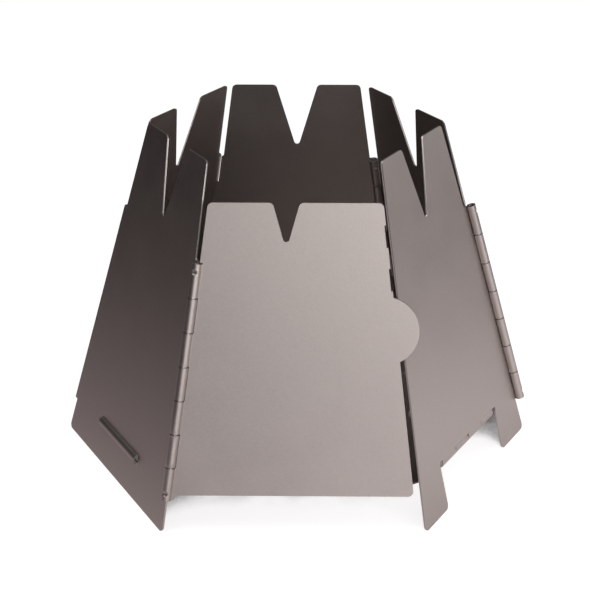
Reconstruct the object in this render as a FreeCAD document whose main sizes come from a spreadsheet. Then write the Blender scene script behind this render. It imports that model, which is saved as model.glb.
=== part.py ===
# Folding wood stove of thin sheet: six hinged walls, a perforated floor and the hinge pins.
# Millimetres, +Z up. The ground is z = 0, the stove's middle is the origin and the door faces -Y.
import FreeCAD, Part
import math
import os

import Sketcher
from FreeCAD import Vector

os.makedirs("parts", exist_ok=True)
doc = FreeCAD.newDocument("FoldingWoodStove")

# Sizes: driving sizes first, then what follows from them
SIZES = [
    ("height", "101.6 mm", "ground to the pot edge"),
    ("flats_base", "127 mm", "across the flats on the ground"),
    ("flats_top", "76.2 mm", "across the flats at the pot edge"),
    ("gauge", "0.5 mm", "sheet thickness"),
    ("corner_round", "1.5 mm", "radius of the sheet's corners"),
    ("notch_half", "6.6 mm", "half width of the smoke notch at the pot edge"),
    ("notch_drop", "22.8 mm", "height from the pot edge to the notch's sharp point"),
    ("notch_round", "0.9 mm", "radius in the bottom of the notch"),
    ("pin_d", "1.7 mm", "hinge pin diameter"),
    ("run_play", "0.05 mm", "radial play of a running knuckle on its pin"),
    ("knuckle_count", "7", "knuckles in each wall hinge"),
    ("knuckle_play", "0.15 mm", "gap between neighbouring knuckles"),
    ("hinge_low", "10 mm", "height of a wall hinge's lower end"),
    ("hinge_drop", "26.2 mm", "pot edge down to a wall hinge's upper end"),
    ("curl_gap", "0.2 mm", "end of a knuckle's curl to its sheet"),
    ("crimp_r", "0.9 mm", "radius of the punch that crimps an end knuckle onto its pin"),
    ("crimp_left", "0.2 mm", "sheet left between a crimp and the pin"),
    ("crimp_inset", "3.2 mm", "end of a hinge to a crimp's middle"),
    ("crimp_turn", "18 deg", "turn of a crimp from the wall's outward direction to its edge"),
    ("tail_lap", "0.6 mm", "how far a knuckle's tail reaches into its sheet"),
    ("edge_play", "0.1 mm", "sheet edge to the barrel of a wall hinge"),
    ("edge_lap", "0.2 mm", "sheet edge to the corner line above a hinge, on the wall that covers the corner"),
    ("edge_back", "3.8 mm", "the same on a front wall behind the covered corner"),
    ("edge_step", "1.65 mm", "the same on the back wall"),
    ("edge_free_low", "2.1 mm", "right front wall's free edge to the corner line, on the ground"),
    ("edge_free_high", "3.7 mm", "the same at the pot edge"),
    ("relief_above", "0.8 mm", "height from a hinge's upper end to the step in the edge"),
    ("door_low", "11.3 mm", "height of the door's lower edge"),
    ("door_drop", "10 mm", "pot edge down to the door's upper edge"),
    ("door_free_low", "1.1 mm", "door's free edge short of the corner line, at its lower edge"),
    ("door_free_high", "0.9 mm", "door's free edge past the corner line, at its upper edge"),
    ("nick_count", "2", "shallow nicks in the door's free edge"),
    ("nick_drop", "5.9 mm", "door's upper edge down to the first nick"),
    ("nick_height", "6 mm", "height of a nick"),
    ("nick_pitch", "11.6 mm", "height from one nick to the next"),
    ("nick_depth", "0.45 mm", "depth of a nick"),
    ("door_notch_off", "2 mm", "how far the door's notch sits towards its hinge"),
    ("tab_over", "6.25 mm", "how far the finger tab reaches past the corner line"),
    ("tab_height", "57.2 mm", "height of the finger tab's middle"),
    ("tab_r", "9.65 mm", "finger tab radius"),
    ("leg_gap_half", "19.6 mm", "half width of the air gap between the right front legs"),
    ("floor_low", "11.3 mm", "height of the floor's underside"),
    ("floor_play", "0.9 mm", "floor edge to the walls"),
    ("floor_clip", "7 mm", "cut off each side of a floor corner"),
    ("floor_edge_play", "0.1 mm", "sheet edge to the barrels of the floor hinge"),
    ("floor_hinge_relief", "1.8 mm", "end of the floor hinge to a leg"),
    ("floor_knuckle_count", "4", "knuckles in the floor hinge"),
    ("floor_tab_play", "2.2 mm", "side of a floor tab to the end of its groove"),
    ("floor_tab_clear", "0.45 mm", "end of a floor tab to the crown of its groove"),
    ("groove_half", "13.2 mm", "half length of a raised groove"),
    ("groove_r", "1 mm", "inner radius of a raised groove"),
    ("hole_r", "3 mm", "air hole radius"),
    ("ring_step", "13.5 mm", "radius step of the rings of air holes"),
    ("ring_count", "3", "rings of air holes round the middle one"),
    ("pin_inset", "0.3 mm", "pin end to the end of its hinge"),
    ("apo_base", "=flats_base / 2", "apothem on the ground"),
    ("apo_top", "=flats_top / 2", "apothem at the pot edge"),
    ("lean", "=atan((apo_base - apo_top) / height)", "lean of a wall from upright"),
    ("slope", "=height / cos(lean)", "length of a wall up its slope"),
    ("half_base", "=apo_base * tan(30 deg)", "half side of the ground hexagon"),
    ("half_top", "=apo_top * tan(30 deg)", "half side of the pot edge hexagon"),
    ("taper", "=atan((half_base - half_top) / slope)", "slant of a wall's side in its own plane"),
    ("turn", "=acos(cos(lean)^2 / 2 + sin(lean)^2)", "angle between the normals of neighbouring walls"),
    ("push", "=gauge / cos(lean)", "sheet thickness measured level"),
    ("grip_r", "=pin_d / 2", "gripping knuckle's bore radius"),
    ("bore_r", "=pin_d / 2 + run_play", "running knuckle's bore radius"),
    ("barrel_r", "=bore_r + gauge", "hinge barrel radius"),
    ("barrel_chord", "=sqrt(barrel_r^2 - bore_r^2)", "barrel's half width at the sheet's face"),
    ("curl_end", "=180 deg + asin((bore_r - curl_gap) / barrel_r)", "where a knuckle's curl ends"),
    ("cap_x", "=barrel_r * cos(curl_end)", "end of a knuckle's curl, beside the axis"),
    ("hinge_high", "=height - hinge_drop", "height of a wall hinge's upper end"),
    ("along", "=1 / (cos(lean) * cos(taper))", "length along a hinge for each unit of height"),
    ("hinge_start", "=hinge_low * along", "hinge's lower end, along its axis from the ground"),
    ("pitch", "=(hinge_high - hinge_low) * along / knuckle_count", "knuckle pitch"),
    ("knuckle_length", "=pitch - knuckle_play", "length of a knuckle"),
    ("grip_count", "=ceil(knuckle_count / 2)", "gripping knuckles in a wall hinge"),
    ("run_count", "=floor(knuckle_count / 2)", "running knuckles in a wall hinge"),
    ("crimp_off", "=grip_r + crimp_left + crimp_r", "crimping punch's middle off the pin's axis"),
    ("crimp_high", "=hinge_start + (2 * grip_count - 1) * pitch - crimp_inset", "upper crimp along the axis"),
    ("in_shift", "=barrel_r * tan(turn / 2)", "inner barrel's axis short of the corner line"),
    ("out_shift", "=bore_r * tan(turn / 2)", "outer barrel's axis beyond the corner line"),
    ("edge_in", "=in_shift + barrel_chord + edge_play", "sheet edge to the corner line at an inner hinge"),
    ("edge_out", "=barrel_r - out_shift + edge_play", "sheet edge to the corner line at an outer hinge"),
    ("relief_fit", "=0.9 * min(edge_out - edge_lap; edge_step - edge_out)", "room for a step's radius"),
    ("relief_round", "=min(corner_round; relief_fit)", "radius at the step in an edge"),
    ("out_x", "=half_base + out_shift * cos(taper)", "outer barrel's axis at the ground, across the wall"),
    ("out_y", "=out_shift * sin(taper)", "outer barrel's axis at the ground, up the wall"),
    ("out_z", "=bore_r", "outer barrel's axis off the outer face"),
    ("out_tail", "=out_shift + edge_out + tail_lap", "outer knuckle's tail from the axis"),
    ("in_x", "=half_base - in_shift * cos(taper)", "inner barrel's axis at the ground, across the wall"),
    ("in_y", "=-in_shift * sin(taper)", "inner barrel's axis at the ground, up the wall"),
    ("in_z", "=-barrel_r", "inner barrel's axis off the outer face"),
    ("in_tail", "=edge_in - in_shift + tail_lap", "inner knuckle's tail from the axis"),
    ("relief_y", "=(hinge_high + relief_above) / cos(lean)", "step in a wall's edge, up the wall"),
    ("notch_y", "=(height - notch_drop) / cos(lean)", "notch's sharp point, up the wall"),
    ("foot_in_x", "=half_base - edge_in / cos(taper)", "edge with an inner hinge at the ground"),
    ("foot_out_x", "=half_base - edge_out / cos(taper)", "edge with an outer hinge at the ground"),
    ("foot_free_x", "=half_base - edge_free_low / cos(taper)", "free edge at the ground"),
    ("relief_x", "=foot_out_x - relief_y * tan(taper)", "hinged edge at the step"),
    ("relief_lap_x", "=relief_x + (edge_out - edge_lap) / cos(taper)", "covering edge at the step"),
    ("relief_back_x", "=relief_x + (edge_out - edge_back) / cos(taper)", "front wall's edge at the step"),
    ("relief_step_x", "=relief_x + (edge_out - edge_step) / cos(taper)", "back wall's edge at the step"),
    ("top_in_x", "=half_top - edge_in / cos(taper)", "edge with an inner hinge at the pot edge"),
    ("top_lap_x", "=half_top - edge_lap / cos(taper)", "covering edge at the pot edge"),
    ("top_back_x", "=half_top - edge_back / cos(taper)", "front wall's covered edge at the pot edge"),
    ("top_step_x", "=half_top - edge_step / cos(taper)", "back wall's covered edge at the pot edge"),
    ("top_free_x", "=half_top - edge_free_high / cos(taper)", "free edge at the pot edge"),
    ("door_high", "=height - door_drop", "height of the door's upper edge"),
    ("door_low_y", "=door_low / cos(lean)", "door's lower edge, up the wall"),
    ("door_high_y", "=door_high / cos(lean)", "door's upper edge, up the wall"),
    ("door_low_x", "=foot_out_x - door_low_y * tan(taper)", "door's hinged edge at its lower edge"),
    ("door_top_half", "=half_base - door_high_y * tan(taper)", "corner line at the door's upper edge"),
    ("door_top_x", "=door_top_half - edge_lap / cos(taper)", "door's hinged edge at its upper edge"),
    ("door_low_half", "=half_base - door_low_y * tan(taper)", "corner line at the door's lower edge"),
    ("door_low_free_x", "=door_low_half - door_free_low / cos(taper)", "door's free edge at its lower edge"),
    ("door_top_free_x", "=door_top_half + door_free_high / cos(taper)", "door's free edge at its upper edge"),
    ("free_fall", "=(door_low_free_x - door_top_free_x) / (door_high_y - door_low_y)", "slant of that edge"),
    ("door_notch_half", "=notch_half * (notch_drop - door_drop) / notch_drop", "door notch's half width"),
    ("door_notch_left", "=door_notch_off + door_notch_half", "door notch's hinge side"),
    ("door_notch_right", "=door_notch_half - door_notch_off", "door notch's free side"),
    ("tab_y", "=tab_height / cos(lean)", "finger tab's middle, up the wall"),
    ("tab_x", "=half_base - tab_y * tan(taper) + tab_over - tab_r", "finger tab's middle, across the wall"),
    ("floor_pin_z", "=floor_low + barrel_r", "height of the floor hinge's axis"),
    ("floor_pin_y", "=(floor_pin_z + barrel_r * sin(lean)) / cos(lean)", "floor hinge's axis, up the wall"),
    ("floor_pin_apo", "=apo_base - floor_pin_z * tan(lean) - barrel_r / cos(lean)", "its apothem"),
    ("floor_edge_gap", "=barrel_chord + floor_edge_play", "sheet edge to the floor hinge's axis"),
    ("floor_tail", "=floor_edge_gap + tail_lap", "floor knuckle's tail from the axis"),
    ("floor_hinge_half", "=leg_gap_half - floor_hinge_relief", "half length of the floor hinge"),
    ("floor_knuckle", "=2 * floor_hinge_half / floor_knuckle_count", "pitch of the floor hinge's knuckles"),
    ("floor_knuckle_length", "=floor_knuckle - knuckle_play", "length of a floor knuckle"),
    ("floor_grip_count", "=ceil(floor_knuckle_count / 2)", "gripping knuckles in the floor hinge"),
    ("floor_run_count", "=floor(floor_knuckle_count / 2)", "running knuckles in the floor hinge"),
    ("leg_gap_y", "=floor_pin_y + floor_edge_gap", "top of the air gap, up the wall"),
    ("floor_wall", "=apo_base - (floor_low + gauge) * tan(lean) - push", "walls' inner face at the floor"),
    ("floor_apo", "=floor_wall - floor_play", "floor's apothem"),
    ("floor_corner", "=floor_apo / cos(30 deg)", "floor's corner radius before it is clipped"),
    ("floor_corner_x", "=floor_corner / 2", "floor's back corners, across"),
    ("floor_hinge_y", "=floor_pin_apo - floor_edge_gap", "floor's hinged edge from the middle"),
    ("floor_hinge_x", "=(floor_apo - floor_hinge_y / 2) / cos(30 deg)", "half length of that edge"),
    ("floor_tab_root", "=floor_apo - 2 * gauge", "where a floor tab starts"),
    ("floor_tab_half", "=groove_half - floor_tab_play", "half width of a floor tab"),
    ("groove_foot", "=gauge / 2", "groove's middle off the inner face"),
    ("floor_tab_end", "=floor_wall + groove_foot + groove_r - floor_tab_clear", "where a floor tab ends"),
    ("groove_y", "=(floor_low + gauge / 2 * (1 + sin(lean))) / cos(lean)", "raised groove, up the wall"),
    ("groove_low_y", "=groove_y - groove_r", "groove slot's lower edge, up the wall"),
    ("groove_high_y", "=groove_y + groove_r", "groove slot's upper edge, up the wall"),
    ("groove_outer_r", "=groove_r + gauge", "outer radius of a raised groove"),
]
sizes = doc.addObject("Spreadsheet::Sheet", "Sizes")


def add_sizes(rows):
    """Fill the next rows of the sheet, each with a note, a value and an alias."""
    first = len(sizes.getUsedCells()) // 2 + 1
    for row, (alias, value, note) in enumerate(rows, first):
        sizes.set(f"A{row}", note)
        sizes.set(f"B{row}", value)
        sizes.setAlias(f"B{row}", alias)
    doc.recompute()


add_sizes(SIZES)


def size(name):
    """Present value of a size, where a leading minus sign turns it round and "0" is zero."""
    if name == "0":
        return 0.0
    value = getattr(sizes, name.lstrip("-"))
    value = getattr(value, "Value", value)
    return -value if name.startswith("-") else value


# Sketches
def origin_feature(body, role):
    """A plane or axis of the body's own origin."""
    return next(f for f in body.Origin.OriginFeatures if f.Role == role)


def sketch_on(body, name, place=None):
    """Sketch on the body's XY plane, moved by an expression where one is given."""
    sketch = body.newObject("Sketcher::SketchObject", name)
    sketch.AttachmentSupport = [(origin_feature(body, "XY_Plane"), "")]
    sketch.MapMode = "FlatFace"
    if place:
        sketch.setExpression("AttachmentOffset", place)
    return sketch


def bind(sketch, constraint, expression):
    """Add a constraint and drive it from the sizes."""
    index = sketch.addConstraint(constraint)
    sketch.setExpression(f"Constraints[{index}]", expression)


def pin_point(sketch, point, axis, name):
    """Hold one coordinate of a sketch point at a size."""
    value = size(name)
    if abs(value) < 1e-9:
        other_axis = -2 if axis == "X" else -1
        sketch.addConstraint(Sketcher.Constraint("PointOnObject", *point, other_axis))
        return
    ends = (-1, 1) + point if value > 0 else point + (-1, 1)
    driver = f"Sizes.{name.lstrip('-')}"
    sign = "-" if getattr(sizes, name.lstrip("-")) < 0 else ""
    bind(sketch, Sketcher.Constraint("Distance" + axis, *ends, abs(value)), sign + driver)


def corner_cut(before, here, after, radius):
    """Ends of a rounded corner on its first and second side, its middle, and whether it turns left."""
    back = (before - here).normalize()
    ahead = (after - here).normalize()
    half = back.getAngle(ahead) / 2
    inward = (back + ahead).normalize()
    reach = radius / math.tan(half)
    left = back.cross(ahead).z < 0
    return here + back * reach, here + ahead * reach, here + inward * (radius / math.sin(half)), left


def polygon(sketch, corners):
    """Closed outline through corners that are named by their sizes, where a third size rounds a corner."""
    points = [Vector(size(corner[0]), size(corner[1]), 0) for corner in corners]
    count = len(corners)
    cuts = []
    for i, (x, y, *radius) in enumerate(corners):
        plain = (points[i], points[i], None, True)
        round_of = [points[i - 1], points[i], points[(i + 1) % count]]
        cuts.append(corner_cut(*round_of, size(radius[0])) if radius else plain)
    sides = []
    for i in range(count):
        side = Part.LineSegment(cuts[i][1], cuts[(i + 1) % count][0])
        sides.append(sketch.addGeometry(side))
    for i, (x, y, *radius) in enumerate(corners):
        before, after = sides[i - 1], sides[i]
        if radius:
            point = round_corner(sketch, before, after, points[i], cuts[i], radius[0])
        else:
            sketch.addConstraint(Sketcher.Constraint("Coincident", before, 2, after, 1))
            point = (after, 1)
        pin_point(sketch, point, "X", x)
        pin_point(sketch, point, "Y", y)


def round_corner(sketch, before, after, sharp, cut, radius):
    """Join two sides with an arc, and return the sharp corner that both sides point at."""
    start, end, middle, left = cut
    first, last = (start, end) if left else (end, start)
    angles = [math.atan2(p.y - middle.y, p.x - middle.x) for p in (first, last)]
    if angles[1] < angles[0]:
        angles[1] += 2 * math.pi
    ring = Part.Circle(middle, Vector(0, 0, 1), size(radius))
    arc = sketch.addGeometry(Part.ArcOfCircle(ring, *angles))
    corner = sketch.addGeometry(Part.Point(sharp), True)
    enter, leave = (1, 2) if left else (2, 1)
    sketch.addConstraint(Sketcher.Constraint("Tangent", before, 2, arc, enter))
    sketch.addConstraint(Sketcher.Constraint("Tangent", arc, leave, after, 1))
    sketch.addConstraint(Sketcher.Constraint("PointOnObject", corner, 1, before))
    sketch.addConstraint(Sketcher.Constraint("PointOnObject", corner, 1, after))
    bind(sketch, Sketcher.Constraint("Radius", arc, size(radius)), f"Sizes.{radius}")
    return corner, 1


def circle(sketch, x, y, radius):
    """Circle that is placed and sized from the sizes."""
    index = sketch.addGeometry(Part.Circle(Vector(size(x), size(y), 0), Vector(0, 0, 1), size(radius)))
    pin_point(sketch, (index, 3), "X", x)
    pin_point(sketch, (index, 3), "Y", y)
    bind(sketch, Sketcher.Constraint("Radius", index, size(radius)), f"Sizes.{radius}")


def arc_about_origin(sketch, radius_name, start, end):
    """Counter-clockwise arc about the sketch origin, with its radius driven by a size."""
    ring = Part.Circle(Vector(0, 0, 0), Vector(0, 0, 1), size(radius_name))
    index = sketch.addGeometry(Part.ArcOfCircle(ring, start, end))
    sketch.addConstraint(Sketcher.Constraint("Coincident", index, 3, -1, 1))
    bind(sketch, Sketcher.Constraint("Radius", index, size(radius_name)), f"Sizes.{radius_name}")
    return index


# Features
def pad(body, name, sketch, length):
    """Pad along the sketch's normal."""
    feature = body.newObject("PartDesign::Pad", name)
    feature.Profile = sketch
    feature.setExpression("Length", f"Sizes.{length}")
    return feature


def level_sheet(body, name, sketch):
    """Pad a wall's outline inward and level, so that its foot and pot edge are cut level."""
    lean = math.radians(size("lean"))
    feature = pad(body, name, sketch, "push")
    feature.UseCustomVector = True
    feature.AlongSketchNormal = False
    feature.Direction = Vector(0, math.sin(lean), -math.cos(lean))
    feature.setExpression("Direction.y", "sin(Sizes.lean)")
    feature.setExpression("Direction.z", "-cos(Sizes.lean)")
    return feature


def cut_through(body, name, sketch):
    """Pocket through the whole sheet."""
    feature = body.newObject("PartDesign::Pocket", name)
    feature.Profile = sketch
    feature.Midplane = True
    feature.Type = "ThroughAll"
    return feature


def edges_at(feature, corners):
    """Names of the edges through the sheet that start at the given outline corners."""
    names = []
    for number, edge in enumerate(feature.Shape.Edges, 1):
        ends = [v.Point for v in edge.Vertexes]
        across = len(ends) == 2 and abs(ends[0].z - ends[1].z) > 0.5 * size("gauge")
        for x, y in corners:
            here = Vector(size(x), size(y), 0)
            if across and min((end - here).Length for end in ends) < 1e-4:
                names.append(f"Edge{number}")
    return names


def repeat_along(body, name, feature, sketch, step, count):
    """Repeat a feature along its sketch's normal, as often as a size says."""
    doc.recompute()
    pattern = body.newObject("PartDesign::LinearPattern", name)
    pattern.Originals = [feature]
    pattern.Direction = (sketch, ["N_Axis"])
    pattern.setExpression("Length", f"{step} * (Sizes.{count} - 1)")
    pattern.setExpression("Occurrences", f"Sizes.{count}")
    body.Tip = pattern
    return pattern


def repeat_round(body, name, feature, count):
    """Repeat a feature round the body's Z axis."""
    doc.recompute()
    pattern = body.newObject("PartDesign::PolarPattern", name)
    pattern.Originals = [feature]
    pattern.Axis = (origin_feature(body, "Z_Axis"), [""])
    pattern.Angle = 360
    pattern.Occurrences = count
    body.Tip = pattern
    return pattern


# Knuckles: a curl of the sheet round a pin, with a tail that runs into the sheet
def knuckle_profile(sketch, side, curl, tail, tight):
    """Section of a knuckle about its axis. side is 1 where the edge is at -x of the sketch, and curl is 1
    where the curl stands over the sheet's upper face. A tight knuckle grips its pin."""
    flip = side * curl > 0
    bore = "grip_r" if tight else "bore_r"

    def place(outward, upward):
        return Vector(-side * outward, curl * upward, 0)

    def angle(value):
        turned = place(math.cos(value), math.sin(value))
        return math.atan2(turned.y, turned.x)

    low, high = -math.pi / 2, math.radians(size("curl_end"))
    start, end = (angle(high), angle(low)) if flip else (angle(low), angle(high))
    end += 2 * math.pi if end < start else 0
    near, far = (2, 1) if flip else (1, 2)
    outer = arc_about_origin(sketch, "barrel_r", start, end)
    inner = arc_about_origin(sketch, bore, start, end)
    barrel, hole, seat = size("barrel_r"), size(bore), size("bore_r")
    reach = size(tail)
    cap = sketch.addGeometry(Part.LineSegment(
        place(barrel * math.cos(high), barrel * math.sin(high)),
        place(hole * math.cos(high), hole * math.sin(high))))
    upper = sketch.addGeometry(Part.LineSegment(place(0, -seat), place(-reach, -seat)))
    back = sketch.addGeometry(Part.LineSegment(place(-reach, -seat), place(-reach, -barrel)))
    lower = sketch.addGeometry(Part.LineSegment(place(-reach, -barrel), place(0, -barrel)))
    joins = [(outer, far, cap, 1), (cap, 2, inner, far), (upper, 2, back, 1), (back, 2, lower, 1),
             (lower, 2, outer, near)]
    if tight:
        step = sketch.addGeometry(Part.LineSegment(place(0, -hole), place(0, -seat)))
        joins += [(inner, near, step, 1), (step, 2, upper, 1)]
        sketch.addConstraint(Sketcher.Constraint("Vertical", step))
        seat_ends = (step, 2, -1, 1) if curl > 0 else (-1, 1, step, 2)
        bind(sketch, Sketcher.Constraint("DistanceY", *seat_ends, seat), "Sizes.bore_r")
    else:
        joins.append((inner, near, upper, 1))
    for join in joins:
        sketch.addConstraint(Sketcher.Constraint("Coincident", *join))
    sketch.addConstraint(Sketcher.Constraint("PointOnObject", outer, near, -2))
    sketch.addConstraint(Sketcher.Constraint("PointOnObject", inner, near, -2))
    sketch.addConstraint(Sketcher.Constraint("Horizontal", upper))
    sketch.addConstraint(Sketcher.Constraint("Vertical", back))
    sketch.addConstraint(Sketcher.Constraint("Horizontal", lower))
    tail_ends = (-1, 1, back, 1) if side > 0 else (back, 1, -1, 1)
    bind(sketch, Sketcher.Constraint("DistanceX", *tail_ends, reach), f"Sizes.{tail}")
    cap_ends = (-1, 1, cap, 1) if side > 0 else (cap, 1, -1, 1)
    bind(sketch, Sketcher.Constraint("DistanceX", *cap_ends, abs(size("cap_x"))), "-Sizes.cap_x")
    sketch.addConstraint(Sketcher.Constraint("PointOnObject", -1, 1, cap))


def hinge_place(side, kind, travel):
    """Place on a wall hinge's axis, in the wall's frame, with z up the axis and x towards -x of the wall."""
    across = f"{side} * (Sizes.{kind}_x - ({travel}) * sin(Sizes.taper))"
    up = f"Sizes.{kind}_y + ({travel}) * cos(Sizes.taper)"
    spin = f"rotationz(180 deg + {side} * Sizes.taper) * rotationx(90 deg)"
    return f"placement(vector({across}; {up}; Sizes.{kind}_z); {spin})"


def wall_knuckles(body, name, side, kind, first, tight):
    """Every second knuckle of a wall hinge, counted from the ground."""
    travel = f"Sizes.hinge_start + {first} * Sizes.pitch + Sizes.knuckle_play / 2"
    sketch = sketch_on(body, name + "Section", hinge_place(side, kind, travel))
    knuckle_profile(sketch, side, 1 if kind == "out" else -1, kind + "_tail", tight)
    knuckle = pad(body, name + "Knuckle", sketch, "knuckle_length")
    count = "grip_count" if tight else "run_count"
    repeat_along(body, name + "Knuckles", knuckle, sketch, "2 * Sizes.pitch", count)


def crimp(body, name, side, kind, travel):
    """Dimple that holds a pin in a gripping knuckle."""
    curl = 1 if kind == "out" else -1
    aside = f"{-side} * Sizes.crimp_off * sin(Sizes.crimp_turn)"
    off = f"{curl} * Sizes.crimp_off * cos(Sizes.crimp_turn)"
    punch = body.newObject("PartDesign::SubtractiveSphere", name)
    punch.AttachmentSupport = [(origin_feature(body, "XY_Plane"), "")]
    punch.MapMode = "FlatFace"
    punch.setExpression("Radius", "Sizes.crimp_r")
    beside = f"placement(vector({aside}; {off}; 0); rotationz(0 deg))"
    punch.setExpression("AttachmentOffset", f"{hinge_place(side, kind, travel)} * {beside}")


def level_place(across, up, off):
    """Place with z along the body's x axis, x along its y axis and y along its z axis."""
    return f"placement(vector({across}; {up}; {off}); rotationz(90 deg) * rotationx(90 deg))"


def floor_knuckles(body, name, up, off, curl, first, tight):
    """Every second knuckle of the floor hinge, counted from the door's side."""
    across = f"{first} * Sizes.floor_knuckle - Sizes.floor_hinge_half + Sizes.knuckle_play / 2"
    sketch = sketch_on(body, name + "Section", level_place(across, up, off))
    knuckle_profile(sketch, 1, curl, "floor_tail", tight)
    knuckle = pad(body, name + "Knuckle", sketch, "floor_knuckle_length")
    count = "floor_grip_count" if tight else "floor_run_count"
    repeat_along(body, name + "Knuckles", knuckle, sketch, "2 * Sizes.floor_knuckle", count)


# Walls
NOTCH = [("notch_half", "slope", "corner_round"), ("0", "notch_y", "notch_round"),
         ("-notch_half", "slope", "corner_round")]
DOOR_NOTCH = [("door_notch_right", "door_high_y", "corner_round"),
              ("-door_notch_off", "notch_y", "notch_round"),
              ("-door_notch_left", "door_high_y", "corner_round")]


def edge(style, sign):
    """A full wall's side from the ground to the pot edge, as outline corners."""
    if style == "plain":
        corners = [("foot_in_x", "0", "corner_round"), ("top_in_x", "slope", "corner_round")]
    elif style == "free":
        corners = [("foot_free_x", "0", "corner_round"), ("top_free_x", "slope", "corner_round")]
    else:
        corners = [("foot_out_x", "0", "corner_round"), ("relief_x", "relief_y")]
        corners += [(f"relief_{style}_x", "relief_y", "relief_round")]
        corners += [(f"top_{style}_x", "slope", "corner_round")]
    return [(sign + x, *rest) for x, *rest in corners]


def wall(name, facing, outline):
    """A wall with x along its foot, y up its slope and z outward, turned to face the given way."""
    body = doc.addObject("PartDesign::Body", name)
    foot = f"vector(Sizes.apo_base * cos({facing} deg); Sizes.apo_base * sin({facing} deg); 0 mm)"
    turned = f"rotationz({facing + 90} deg) * rotationx(90 deg - Sizes.lean)"
    body.setExpression("Placement", f"placement({foot}; {turned})")
    sketch = sketch_on(body, name + "Outline")
    polygon(sketch, outline)
    level_sheet(body, name + "Sheet", sketch)
    return body


def full_wall(name, facing, left, right, foot=()):
    """A wall that stands on the ground and reaches the pot edge."""
    return wall(name, facing, list(foot) + edge(right, "") + NOTCH + edge(left, "-")[::-1])


def groove(body):
    """Raised groove that a floor tab snaps into: a slot through the sheet under an arch with open ends."""
    slot = sketch_on(body, body.Name + "Slot")
    polygon(slot, [("-groove_half", "groove_low_y"), ("groove_half", "groove_low_y"),
                   ("groove_half", "groove_high_y"), ("-groove_half", "groove_high_y")])
    cut_through(body, body.Name + "SlotCut", slot)
    low_end = level_place("-Sizes.groove_half", "Sizes.groove_y", "-Sizes.groove_foot")
    section = sketch_on(body, body.Name + "Arch", low_end)
    outer = arc_about_origin(section, "groove_outer_r", 0, math.pi)
    inner = arc_about_origin(section, "groove_r", 0, math.pi)
    large, small, foot = size("groove_outer_r"), size("groove_r"), size("groove_foot")
    for sign, end in ((1, 1), (-1, 2)):
        rim = [(large, 0), (large, -foot), (small, -foot), (small, 0)]
        points = [Vector(sign * x, y, 0) for x, y in rim]
        legs = [section.addGeometry(Part.LineSegment(a, b)) for a, b in zip(points, points[1:])]
        section.addConstraint(Sketcher.Constraint("Coincident", outer, end, legs[0], 1))
        section.addConstraint(Sketcher.Constraint("Coincident", legs[0], 2, legs[1], 1))
        section.addConstraint(Sketcher.Constraint("Coincident", legs[1], 2, legs[2], 1))
        section.addConstraint(Sketcher.Constraint("Coincident", legs[2], 2, inner, end))
        section.addConstraint(Sketcher.Constraint("PointOnObject", outer, end, -1))
        section.addConstraint(Sketcher.Constraint("PointOnObject", inner, end, -1))
        section.addConstraint(Sketcher.Constraint("Vertical", legs[0]))
        section.addConstraint(Sketcher.Constraint("Horizontal", legs[1]))
        section.addConstraint(Sketcher.Constraint("Vertical", legs[2]))
        bind(section, Sketcher.Constraint("DistanceY", legs[1], 1, -1, 1, foot), "Sizes.groove_foot")
    arch = body.newObject("PartDesign::Pad", body.Name + "ArchPad")
    arch.Profile = section
    arch.setExpression("Length", "2 * Sizes.groove_half")


def nicks():
    """The door's shallow nicks from the lowest one up, as outline corners."""
    corners = []
    for number in range(int(size("nick_count")), 0, -1):
        fall = f"nick_drop + {number - 1} * nick_pitch"
        for end, below in (("low", "nick_height"), ("high", "0 mm")):
            name = f"nick{number}_{end}"
            add_sizes([
                (name + "_y", f"=door_high_y - ({fall} + {below}) / cos(lean)", f"nick {number}, {end} end"),
                (name + "_x", f"=door_top_free_x + (door_high_y - {name}_y) * free_fall", "the edge there"),
                (name + "_in", f"={name}_x - nick_depth", "bottom of the nick there"),
            ])
            edge_point, bottom_point = (name + "_x", name + "_y"), (name + "_in", name + "_y")
            corners += [edge_point, bottom_point] if end == "low" else [bottom_point, edge_point]
    return corners


def door_wall():
    """The door: a shorter wall with nicks and a finger tab on its free edge."""
    outline = [("door_low_free_x", "door_low_y", "corner_round")] + nicks()
    outline += [("door_top_free_x", "door_high_y", "corner_round")] + DOOR_NOTCH
    outline += [("-door_top_x", "door_high_y", "corner_round"), ("-relief_lap_x", "relief_y", "relief_round")]
    outline += [("-relief_x", "relief_y"), ("-door_low_x", "door_low_y", "corner_round")]
    body = wall("Door", -90, outline)
    sketch = sketch_on(body, "DoorTabOutline")
    circle(sketch, "tab_x", "tab_y", "tab_r")
    tab = pad(body, "DoorTab", sketch, "gauge")
    tab.Reversed = True
    return body


LEG_GAP = [("-leg_gap_half", "0", "corner_round"), ("-leg_gap_half", "leg_gap_y"),
           ("leg_gap_half", "leg_gap_y"), ("leg_gap_half", "0", "corner_round")]
door = door_wall()
right_front = full_wall("RightFront", -30, "free", "back", LEG_GAP)
right_back = full_wall("RightBack", 30, "lap", "plain")
back = full_wall("Back", 90, "plain", "step")
left_back = full_wall("LeftBack", 150, "lap", "plain")
left_front = full_wall("LeftFront", 210, "plain", "back")
groove(left_front)
groove(back)

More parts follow.
